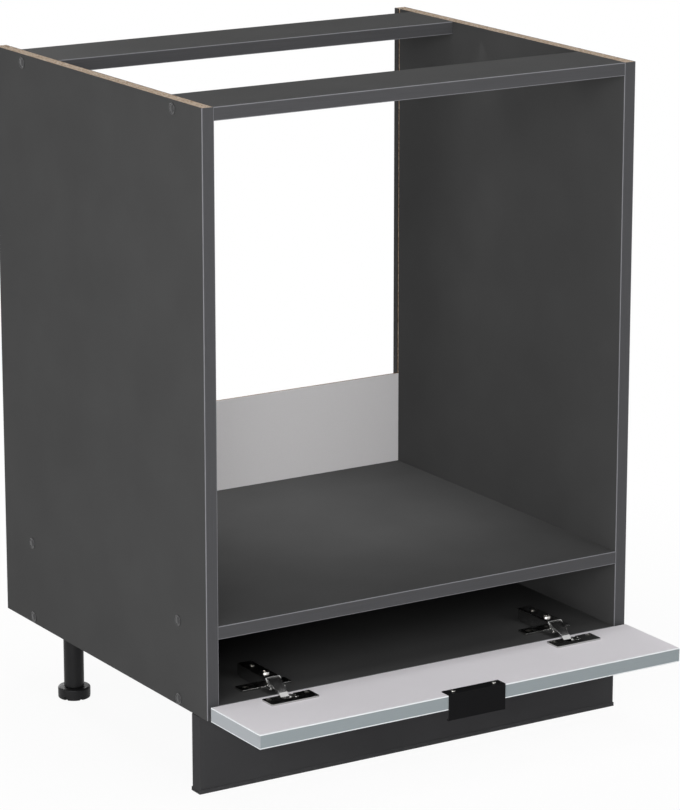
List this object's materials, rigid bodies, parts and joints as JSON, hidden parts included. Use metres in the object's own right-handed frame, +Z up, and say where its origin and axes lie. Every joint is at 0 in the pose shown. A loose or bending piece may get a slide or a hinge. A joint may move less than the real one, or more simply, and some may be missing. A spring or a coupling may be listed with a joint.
{
  "type": "oven housing unit",
  "caption": "Open fronted kitchen base cabinet for a built in oven, with an oven shelf, top rails, a fold down flap below the shelf, a clip on plinth and levelling legs",
  "frame": {"origin": "on the floor, midway between the sides and midway between the front of the open flap's handle and the rear edges of the side panels", "axes": "+Z up, +Y to the rear, +X to the right seen from the front"},
  "size_m": [0.6032, 0.6278, 0.822],
  "materials": {
    "carcass_board": "chipboard faced with dark grey melamine, satin, raw chipboard at top edge and groove",
    "edge_band": "dark grey plastic edge band, satin",
    "back_board": "hardboard with a light grey lacquered face",
    "flap_board": "chipboard faced with pale grey melamine, satin",
    "flap_edge_band": "cool grey plastic edge band",
    "hinge_steel": "pressed steel, black nickel plated",
    "pin_steel": "bright nickel plated steel",
    "screw_steel": "zinc plated steel",
    "handle_steel": "steel sheet, black powder coat",
    "cap_plastic": "moulded cap, dark grey",
    "dowel_wood": "fluted beech",
    "leg_plastic": "moulded black plastic",
    "clip_plastic": "moulded black plastic",
    "plinth_board": "chipboard faced with dark grey melamine",
    "seal_plastic": "soft dark sealing profile"
  },
  "bodies": {
    "carcass": {"arm_adjusting_screws": "screw_steel", "arm_fixing_screws": "pin_steel", "arm_link_pins": "pin_steel", "back_panel": "back_board", "bottom_edge_band": "edge_band", "bottom_panel": "carcass_board", "carcass_screws": "screw_steel", "front_left_leg_socket": "leg_plastic", "front_left_leg_tube": "leg_plastic", "front_rail": "carcass_board", "front_rail_edge_band": "edge_band", "front_right_leg_socket": "leg_plastic", "front_right_leg_tube": "leg_plastic", "hinge_plate_screws": "screw_steel", "left_hinge_arm": "hinge_steel", "left_hinge_mounting_plate": "hinge_steel", "left_side_edge_band": "edge_band", "left_side_panel": "carcass_board", "leg_socket_screws": "screw_steel", "oven_shelf": "carcass_board", "rear_left_leg_socket": "leg_plastic", "rear_left_leg_tube": "leg_plastic", "rear_rail": "carcass_board", "rear_rail_edge_band": "edge_band", "rear_right_leg_socket": "leg_plastic", "rear_right_leg_tube": "leg_plastic", "right_hinge_arm": "hinge_steel", "right_hinge_mounting_plate": "hinge_steel", "right_side_edge_band": "edge_band", "right_side_panel": "carcass_board", "screw_caps": "cap_plastic", "shelf_edge_band": "edge_band", "wooden_dowels": "dowel_wood"},
    "left_strap": {"left_hinge_strap": "hinge_steel"},
    "right_strap": {"right_hinge_strap": "hinge_steel"},
    "left_link": {"left_inner_link": "hinge_steel"},
    "right_link": {"right_inner_link": "hinge_steel"},
    "flap": {"cup_pins": "pin_steel", "cup_screws": "screw_steel", "flap_free_edge_band": "flap_edge_band", "flap_handle": "handle_steel", "flap_hinge_edge_band": "flap_edge_band", "flap_left_edge_band": "flap_edge_band", "flap_panel": "flap_board", "flap_right_edge_band": "flap_edge_band", "handle_screws": "screw_steel", "left_hinge_cup": "hinge_steel", "right_hinge_cup": "hinge_steel"},
    "plinth": {"left_plinth_clip": "clip_plastic", "plinth_clip_screws": "screw_steel", "plinth_panel": "plinth_board", "plinth_seal": "seal_plastic", "right_plinth_clip": "clip_plastic"},
    "front_left_foot": {"front_left_leg_foot": "leg_plastic"},
    "front_right_foot": {"front_right_leg_foot": "leg_plastic"},
    "rear_left_foot": {"rear_left_leg_foot": "leg_plastic"},
    "rear_right_foot": {"rear_right_leg_foot": "leg_plastic"}
  },
  "joints": [
    {"name": "left_strap_swing", "type": "hinge", "parent": "carcass", "child": "left_strap", "pos_m": [-0.203, -0.1866, 0.124], "axis": [1, 0, 0], "range_deg": [0, 14.76]},
    {"name": "flap_swing", "type": "hinge", "parent": "left_strap", "child": "flap", "pos_m": [-0.203, -0.20874, 0.1105], "axis": [-1, 0, 0], "range_deg": [0, 104.66]},
    {"name": "right_strap_swing", "type": "hinge", "parent": "carcass", "child": "right_strap", "pos_m": [0.203, -0.1866, 0.124], "axis": [1, 0, 0], "range_deg": [0, 14.76]},
    {"name": "left_link_swing", "type": "hinge", "parent": "carcass", "child": "left_link", "pos_m": [-0.203, -0.1926, 0.1205], "axis": [1, 0, 0], "range_deg": [0, 38]},
    {"name": "right_link_swing", "type": "hinge", "parent": "carcass", "child": "right_link", "pos_m": [0.203, -0.1926, 0.1205], "axis": [1, 0, 0], "range_deg": [0, 38]},
    {"name": "plinth_pull", "type": "slide", "parent": "carcass", "child": "plinth", "axis": [0, -1, 0], "range_m": [0, 0.06]},
    {"name": "front_left_foot_height", "type": "slide", "parent": "carcass", "child": "front_left_foot", "axis": [0, 0, -1], "range_m": [0, 0.02]},
    {"name": "front_right_foot_height", "type": "slide", "parent": "carcass", "child": "front_right_foot", "axis": [0, 0, -1], "range_m": [0, 0.02]},
    {"name": "rear_left_foot_height", "type": "slide", "parent": "carcass", "child": "rear_left_foot", "axis": [0, 0, -1], "range_m": [0, 0.02]},
    {"name": "rear_right_foot_height", "type": "slide", "parent": "carcass", "child": "rear_right_foot", "axis": [0, 0, -1], "range_m": [0, 0.02]}
  ],
  "couplings": [
    {"joint": "left_strap_swing", "follows": "flap_swing", "ratio": 0.14007},
    {"joint": "right_strap_swing", "follows": "flap_swing", "ratio": 0.14007},
    {"joint": "left_link_swing", "follows": "flap_swing", "ratio": 0.36212},
    {"joint": "right_link_swing", "follows": "flap_swing", "ratio": 0.36212}
  ]
}
